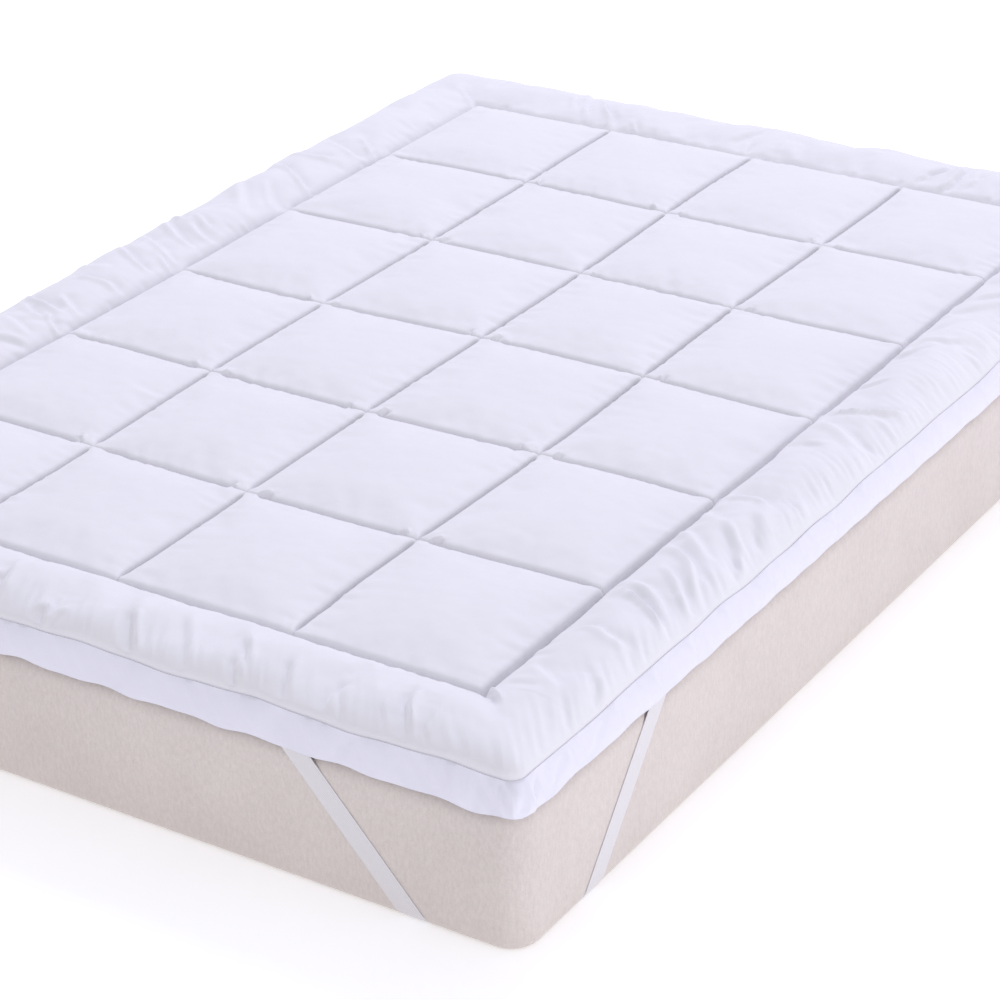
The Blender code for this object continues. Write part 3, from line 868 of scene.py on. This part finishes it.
def stitches_along(line, up):
    """Vertices and faces of one run of stitches: short round-ended threads that lie on the cloth."""
    run = np.concatenate([[0], np.cumsum(np.linalg.norm(np.diff(line, axis=0), axis=1))])
    starts = np.arange(STITCH_PITCH / 2, run[-1] - STITCH_PITCH, STITCH_PITCH)

    def at(distance):
        return np.stack([np.interp(distance, run, line[:, k]) for k in range(3)], -1)

    starts = starts[at(starts)[:, 2] < SEAM_HEIGHT - STITCHED_BELOW]
    first, last = at(starts), at(starts + STITCH_LENGTH)
    along = last - first
    along /= np.linalg.norm(along, axis=1)[:, None]
    side = np.cross(along, up)
    side /= np.linalg.norm(side, axis=1)[:, None]
    rise = np.cross(side, along)

    def middle(share, lift):
        return first + (last - first) * share + rise * STITCH_RADIUS * lift

    vertices = [middle(STITCH_TIPS[0], STITCH_SINKS)]
    for share, thick, lift in STITCH_RINGS:
        for k in range(STITCH_SIDES):
            a = math.tau * (k + 0.5) / STITCH_SIDES
            spoke = math.cos(a) * side + math.sin(a) * rise
            vertices.append(middle(share, lift) + STITCH_RADIUS * thick * spoke)
    vertices.append(middle(STITCH_TIPS[1], STITCH_SINKS))
    points = np.stack(vertices, 1)  # stitch, vertex, xyz

    turn = np.arange(STITCH_SIDES)
    after = (turn + 1) % STITCH_SIDES
    last_ring = 1 + STITCH_SIDES * (len(STITCH_RINGS) - 1)
    faces = [(0, 1 + a, 1 + b) for a, b in zip(turn, after)]
    for ring in range(1, last_ring, STITCH_SIDES):
        above = ring + STITCH_SIDES
        faces += [(ring + a, above + a, above + b, ring + b) for a, b in zip(turn, after)]
    faces += [(len(vertices) - 1, last_ring + b, last_ring + a) for a, b in zip(turn, after)]
    return points, faces


def make_stitches(face, material):
    """Stitches in every line of the field, joined as one object."""
    runs = [face[i] for i in range(0, len(face), FIELD_STEPS)]
    runs += [face[:, j] for j in range(0, face.shape[1], FIELD_STEPS)]
    points, faces, count = [], [], 0
    for line in runs:
        found, pattern = stitches_along(line, (0, 0, 1))
        for start in count + np.arange(len(found)) * found.shape[1]:
            faces += [tuple(int(start + v) for v in f) for f in pattern]
        points.append(found.reshape(-1, 3))
        count += found.shape[0] * found.shape[1]
    return make_object("quilting_thread", np.vstack(points), faces, material, FULLY_SMOOTH)


# ---------------- gusset

GUSSET_THICKNESS = 0.0015
GUSSET_HEIGHT = OUTER_SEAM_HEIGHT - GUSSET_BOTTOM
GUSSET_ROWS = 14
GUSSET_STEP = 0.0034  # along the outline
GUSSET_IN = 0.0007  # how far its inner face lies inside the outline, at its seam
GUSSET_BULGE = 0.0040
BULGE_SQUARENESS = 2.5
GUSSET_LEAN = 0.020  # how far its folds lean from top to bottom
GUSSET_WAVE = 0.0014
GUSSET_SWELL = 0.0012
GUSSET_OFF_PAD = 0.0003
CORNER_REACH = 0.06  # beside the corners it is more uneven, by these:
CORNER_BULGE, CORNER_WAVE, CORNER_SCALLOP = 0.0010, 0.0022, 0.0020
SCALLOP = 0.0012  # its lower edge
HEM_HEIGHT = 0.006
HEM_RAISED = 0.0005
HEM_EDGE = 0.03  # share of the height in which the hem ends
PUCKER_LENGTHS = (0.090, 0.045, 0.028)
BELLY_LENGTHS = (0.30, 0.16)
SCALLOP_LENGTHS = (0.12, 0.07)
# folds beside the near corner: place along it (the near side's are negative), lean, depth, width in mm
CORNER_FOLDS = (
    (-560, 26, 1.8, 12),
    (-430, -22, 2.2, 10),
    (-330, 18, 1.6, 12),
    (-236, 28, 2.4, 9),
    (-160, -24, 1.8, 9),
    (-98, 16, 2.2, 8),
    (-52, 10, 2.5, 6),
    (-16, -8, 5.0, 5),
    (-5, 3, -3.5, 5),
    (8, 6, 5.0, 5),
    (27, 26, 3.8, 5),
    (52, -22, 4.0, 6),
    (78, 30, 3.0, 6),
    (118, -24, 3.6, 8),
    (165, 26, 2.8, 8),
)


def ripple(run, total, seed, wavelengths):
    """A random wave round a closed line of the given length, between about -1 and 1."""
    rng = np.random.default_rng(seed)
    value = np.zeros_like(run)
    for wavelength in wavelengths:
        turns = round(total / wavelength)
        for k in range(-2, 3):  # five waves of about this length
            height = rng.normal()
            value += height * np.sin(math.tau * (turns + k) * run / total + rng.uniform(0, math.tau))
    return value / math.sqrt(5 / 2 * len(wavelengths))


def make_gusset(material):
    """The strip round the sides, a closed sheet with its outer face first, and its length."""
    outline, out, run = rounded_outline(HALF_X, HALF_Y, CORNER_RADIUS, GUSSET_STEP)
    length = run[-1] + GUSSET_STEP
    x, y = outline.T
    pucker = ripple(run, length, 4, PUCKER_LENGTHS)
    belly = ripple(run, length, 5, BELLY_LENGTHS)
    scallop = ripple(run, length, 6, SCALLOP_LENGTHS)
    corner = np.exp(-((np.abs(x) - HALF_X) ** 2 + (np.abs(y) - HALF_Y) ** 2) / CORNER_REACH**2)
    from_corner = (y + HALF_Y) - (HALF_X - x)
    bottom = GUSSET_BOTTOM + SCALLOP + (SCALLOP + CORNER_SCALLOP * corner) * scallop
    top = OUTER_SEAM_HEIGHT + outer_seam_wave(x, y)

    def row(h, outer):
        """Its points at the share h of its height."""
        bulge = (GUSSET_BULGE + CORNER_BULGE * corner) * (1 - abs(2 * h - 1) ** BULGE_SQUARENESS)
        leaning = np.interp(run + GUSSET_LEAN * (h - 0.5), run, pucker, period=length)
        folds = (GUSSET_WAVE + CORNER_WAVE * corner) * leaning
        for place, lean, depth, width in CORNER_FOLDS:
            away = (from_corner - place / 1000 - lean / 1000 * (h - 0.5)) / (width / 1000)
            folds = folds - depth / 1000 * np.exp(-(away**2))
        arch = math.sin(math.pi * h)
        folds = folds * math.sqrt(arch) + GUSSET_SWELL * belly * arch
        offset = bulge - GUSSET_IN + np.maximum(-bulge - GUSSET_OFF_PAD, folds)
        if outer:
            hem = HEM_RAISED * smooth((HEM_HEIGHT / GUSSET_HEIGHT - h) / HEM_EDGE)
            offset = offset + GUSSET_THICKNESS + hem
        return np.column_stack([outline + offset[:, None] * out, bottom + (top - bottom) * h])

    shares = np.linspace(0, 1, GUSSET_ROWS + 1)
    stack = np.array([row(h, True) for h in shares] + [row(h, False) for h in shares[::-1]])
    faces = grid_faces(len(stack), len(outline), wrap=True, close=True)[:, ::-1].tolist()
    points = stack.reshape(-1, 3)
    gusset = make_object("gusset_strip", points, faces, material, SIDE_SHARP)
    set_uvs(gusset, np.column_stack([np.tile(run, len(stack)), points[:, 2]]))
    return gusset, length


# ---------------- mattress

MATTRESS_CORNER = 0.038
MATTRESS_TOP_RADIUS = 0.030
MATTRESS_BOTTOM_RADIUS = 0.012
MATTRESS_STEP = 0.012
MATTRESS_RINGS = 25  # under it, from this share of its size outward
MATTRESS_RINGS_FROM = 0.55
LOW_STEPS, SIDE_STEPS, HIGH_STEPS = 8, 12, 10  # round its lower edge, up its side, round its upper edge


def make_mattress(material):
    """Rings from the middle of its underside, up its sides and round to its top, closed at both ends."""
    half_x, half_y, height = MATTRESS_HIGH
    low, high = MATTRESS_BOTTOM_RADIUS, height - MATTRESS_TOP_RADIUS
    profile = []  # (distance inside the outline, height)
    for a in quarter_turn(LOW_STEPS):
        profile.append((low * (1 - math.sin(a)), low * (1 - math.cos(a))))
    for z in np.linspace(low, high, SIDE_STEPS + 1)[1:-1]:
        profile.append((0.0, z))
    for a in quarter_turn(HIGH_STEPS):
        inset = MATTRESS_TOP_RADIUS * (1 - math.cos(a))
        profile.append((inset, height - MATTRESS_TOP_RADIUS * (1 - math.sin(a))))

    base, out, run = rounded_outline(half_x, half_y, MATTRESS_CORNER, MATTRESS_STEP)
    count = len(base)
    rows = []
    for scale in np.linspace(MATTRESS_RINGS_FROM, 1, MATTRESS_RINGS + 1)[:-1]:
        rows.append(np.column_stack([(base - low * out) * scale, np.zeros(count)]))
    for inset, z in profile:
        rows.append(np.column_stack([base - inset * out, np.full(count, z)]))
    faces = grid_faces(len(rows), count, wrap=True)[:, ::-1].tolist()
    faces.append(list(range(count))[::-1])
    faces.append(((len(rows) - 1) * count + np.arange(count)).tolist())
    return make_object("plain_mattress", np.vstack(rows), faces, material, SIDE_SHARP)


# ---------------- straps

STRAP_WIDTH = 0.030
STRAP_THICKNESS = 0.0015
STRAP_THINNER = 0.45  # share by which its edges are thinner
STRAP_SQUARENESS = 8
STRAP_OFF_MATTRESS = 0.0003
STRAP_TOP = MATTRESS_HIGH.z - 0.001  # its end, behind the gusset
STRAP_TO_CORNER = 0.312
STRAP_LEAN = math.radians(41.0)
STRAP_BEND = 0.012
FLOOR_GAP = 0.0003
DOWN_STEPS, BEND_STEPS, UNDER_STEPS, ACROSS_STEPS = 16, 10, 8, 12  # of its mesh
# turn about the vertical that brings the corner at (+x, +y) to each corner
STRAP_CORNERS = {
    "front_right": (1, -1, 270),
    "front_left": (-1, -1, 180),
    "back_right": (1, 1, 0),
    "back_left": (-1, 1, 90),
}


def strap_side():
    """Rows of a strap down one side: (place from the corner, out, height, normal out, normal up)."""
    bend_start = FLOOR_GAP + STRAP_THICKNESS + STRAP_BEND
    straight = STRAP_TOP - bend_start
    slope = math.tan(STRAP_LEAN)
    rows = []
    for down in np.linspace(0, straight, DOWN_STEPS + 1):
        rows.append((STRAP_TO_CORNER - down * slope, STRAP_OFF_MATTRESS, STRAP_TOP - down, 1.0, 0.0))
    for a in quarter_turn(BEND_STEPS)[1:]:
        along = STRAP_TO_CORNER - (straight + STRAP_BEND * a) * slope
        out = STRAP_OFF_MATTRESS - STRAP_BEND * (1 - math.cos(a))
        rows.append((along, out, bend_start - STRAP_BEND * math.sin(a), math.cos(a), -math.sin(a)))
    return rows


def make_strap(name, side, end, turn, material):
    """A strap round the corner at (side, end) of the mattress, and its length."""
    half_cut = STRAP_WIDTH / 2 / math.cos(STRAP_LEAN)
    across = np.linspace(-1, 1, ACROSS_STEPS + 1)
    rows = strap_side()
    inner, normal = [], []  # down the side, seen in the frame of a corner at (+x, +y)
    for along, out, height, normal_out, normal_up in rows:
        inner.append([(out, -(along + a * half_cut), height) for a in across])
        normal.append([(normal_out, 0.0, normal_up)] * len(across))
    along, out, height = rows[-1][:3]
    middle_line = [(-(along + a * half_cut - out) / 2,) * 2 + (height,) for a in across]
    start, middle_line = np.array(inner[-1]), np.array(middle_line)
    for t in np.arange(1, UNDER_STEPS) / UNDER_STEPS:  # and straight to the line half way under the corner
        inner.append((1 - t) * start + t * middle_line)
        normal.append([(0.0, 0.0, -1.0)] * len(across))
    inner, normal = np.array(inner), np.array(normal)

    # the other half is its mirror image
    swap = [1, 0, 2]
    inner = np.concatenate([inner, middle_line[None], inner[::-1][..., swap]])
    under = np.broadcast_to((0.0, 0.0, -1.0), middle_line[None].shape)
    normal = np.concatenate([normal, under, normal[::-1][..., swap]])
    thick = STRAP_THICKNESS * (1 - STRAP_THINNER * np.abs(across) ** STRAP_SQUARENESS)
    outer = inner + normal * thick[None, :, None]
    both = np.concatenate([inner, outer[:, ::-1]], axis=1)
    n, width = both.shape[:2]
    faces = grid_faces(n, width, wrap=True).tolist()
    faces.append(list(range(width)))
    faces.append([(n - 1) * width + k for k in range(width)][::-1])

    c, s = math.cos(math.radians(turn)), math.sin(math.radians(turn))
    x, y, z = both.reshape(-1, 3).T
    x, y = x * c - y * s + side * MATTRESS_HIGH.x, x * s + y * c + end * MATTRESS_HIGH.y
    strap = make_object(name, np.column_stack([x, y, z]), faces, material, STRAP_SHARP)
    steps = np.linalg.norm(np.diff(inner[:, len(across) // 2], axis=0), axis=1)
    run = np.concatenate([[0], np.cumsum(steps)])
    place = np.concatenate([across, across[::-1]]) * STRAP_WIDTH / 2
    set_uvs(strap, np.stack(np.meshgrid(run, place, indexing="ij"), -1).reshape(-1, 2))
    return strap, run[-1]


# ---------------- stage, light, camera

WORLD_STRENGTH = 0.77
WORLD_COLOUR = (0.998, 0.992, 1.06)
# name, direction from the bed, distance, size, strength, colour
LIGHTS = (
    ("key", (-0.14, 0.58, 0.80), 10.0, 4.0, 0.37, (0.93, 0.925, 1.22)),
    ("side", (0.98, -0.10, 0.16), 5.0, 3.0, 0.17, (0.98, 0.975, 1.08)),
)
FLOOR_SIZE = 30.0  # from the middle to its edge

CAMERA_PLACE = (2.2118, -3.2455, 2.0207)
CAMERA_AZIMUTH = 33.95
CAMERA_ELEVATION = 27.41
CAMERA_ROLL = -2.15
CAMERA_LENS = 108.1


def make_camera():
    data = bpy.data.cameras.new("camera")
    data.lens = CAMERA_LENS
    data.sensor_width = 36
    camera = bpy.data.objects.new("camera", data)
    turn = Euler((math.radians(90 - CAMERA_ELEVATION), 0, math.radians(CAMERA_AZIMUTH))).to_matrix().to_4x4()
    roll = Matrix.Rotation(math.radians(CAMERA_ROLL), 4, "Z")
    camera.matrix_world = Matrix.Translation(CAMERA_PLACE) @ turn @ roll
    bpy.context.scene.collection.objects.link(camera)
    bpy.context.scene.camera = camera


def add_light(name, direction, distance, size, strength, colour):
    """A round light aimed at the bed. A strength of 1 lights a face turned to it as a white world would."""
    data = bpy.data.lights.new(name, "AREA")
    data.shape = "DISK"
    data.size = size
    data.energy = strength * math.pi**2 * distance**2
    data.color = colour
    light = bpy.data.objects.new(name, data)
    light.location = Vector(direction).normalized() * distance
    light.rotation_euler = (-light.location).to_track_quat("-Z", "Y").to_euler()
    bpy.context.scene.collection.objects.link(light)


def make_light():
    scene = bpy.context.scene
    scene.view_settings.view_transform = "Standard"
    world = bpy.data.worlds.new("studio")
    world.use_nodes = True
    background = world.node_tree.nodes["Background"].inputs
    background["Color"].default_value = (*WORLD_COLOUR, 1)
    background["Strength"].default_value = WORLD_STRENGTH
    scene.world = world
    for light in LIGHTS:
        add_light(*light)


def make_floor(material):
    points = [(-FLOOR_SIZE, -FLOOR_SIZE, 0), (FLOOR_SIZE, -FLOOR_SIZE, 0)]
    points += [(FLOOR_SIZE, FLOOR_SIZE, 0), (-FLOOR_SIZE, FLOOR_SIZE, 0)]
    make_object("floor", points, [(0, 1, 2, 3)], material)


# ---------------- the scene

make_camera()
make_light()
make_floor(pale_floor("floor_paint"))

cover = woven_cotton("cover_cotton", COVER_COLOURS)
gusset_cotton = woven_cotton("gusset_cotton", GUSSET_COLOURS, "UV")
elastic = knitted_elastic("white_elastic")
heather = heather_knit("mattress_cloth")

settling = Settling()
field_x = Lines(HALF_X, CELLS_X, FIELD_STEPS, 0, FIELD_CROWDING)
field_y = Lines(HALF_Y, CELLS_Y, FIELD_STEPS, 0, FIELD_CROWDING)
field_face = settling.finished_face(field_x, field_y)
middle = CELLS_X // 2 * FIELD_STEPS
pads = [
    make_field("quilted_field_left", field_face[: middle + 1], cover),
    make_field("quilted_field_right", field_face[middle:], cover),
    make_border(settling, cover),
]
for pad in pads:
    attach(pad, "root")
    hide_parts("quilted_pad")

thread = make_stitches(field_face, stitch_thread("white_thread"))
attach(thread, "root")

gusset, gusset_length = make_gusset(gusset_cotton)
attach(gusset, "root")
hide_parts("gusset")

mattress = make_mattress(heather)
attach(mattress, "root")
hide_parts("mattress")

for corner_name, (side, end, turn) in STRAP_CORNERS.items():
    strap, strap_length = make_strap("elastic_" + corner_name, side, end, turn, elastic)
    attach(strap, "root")
    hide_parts("strap_" + corner_name)
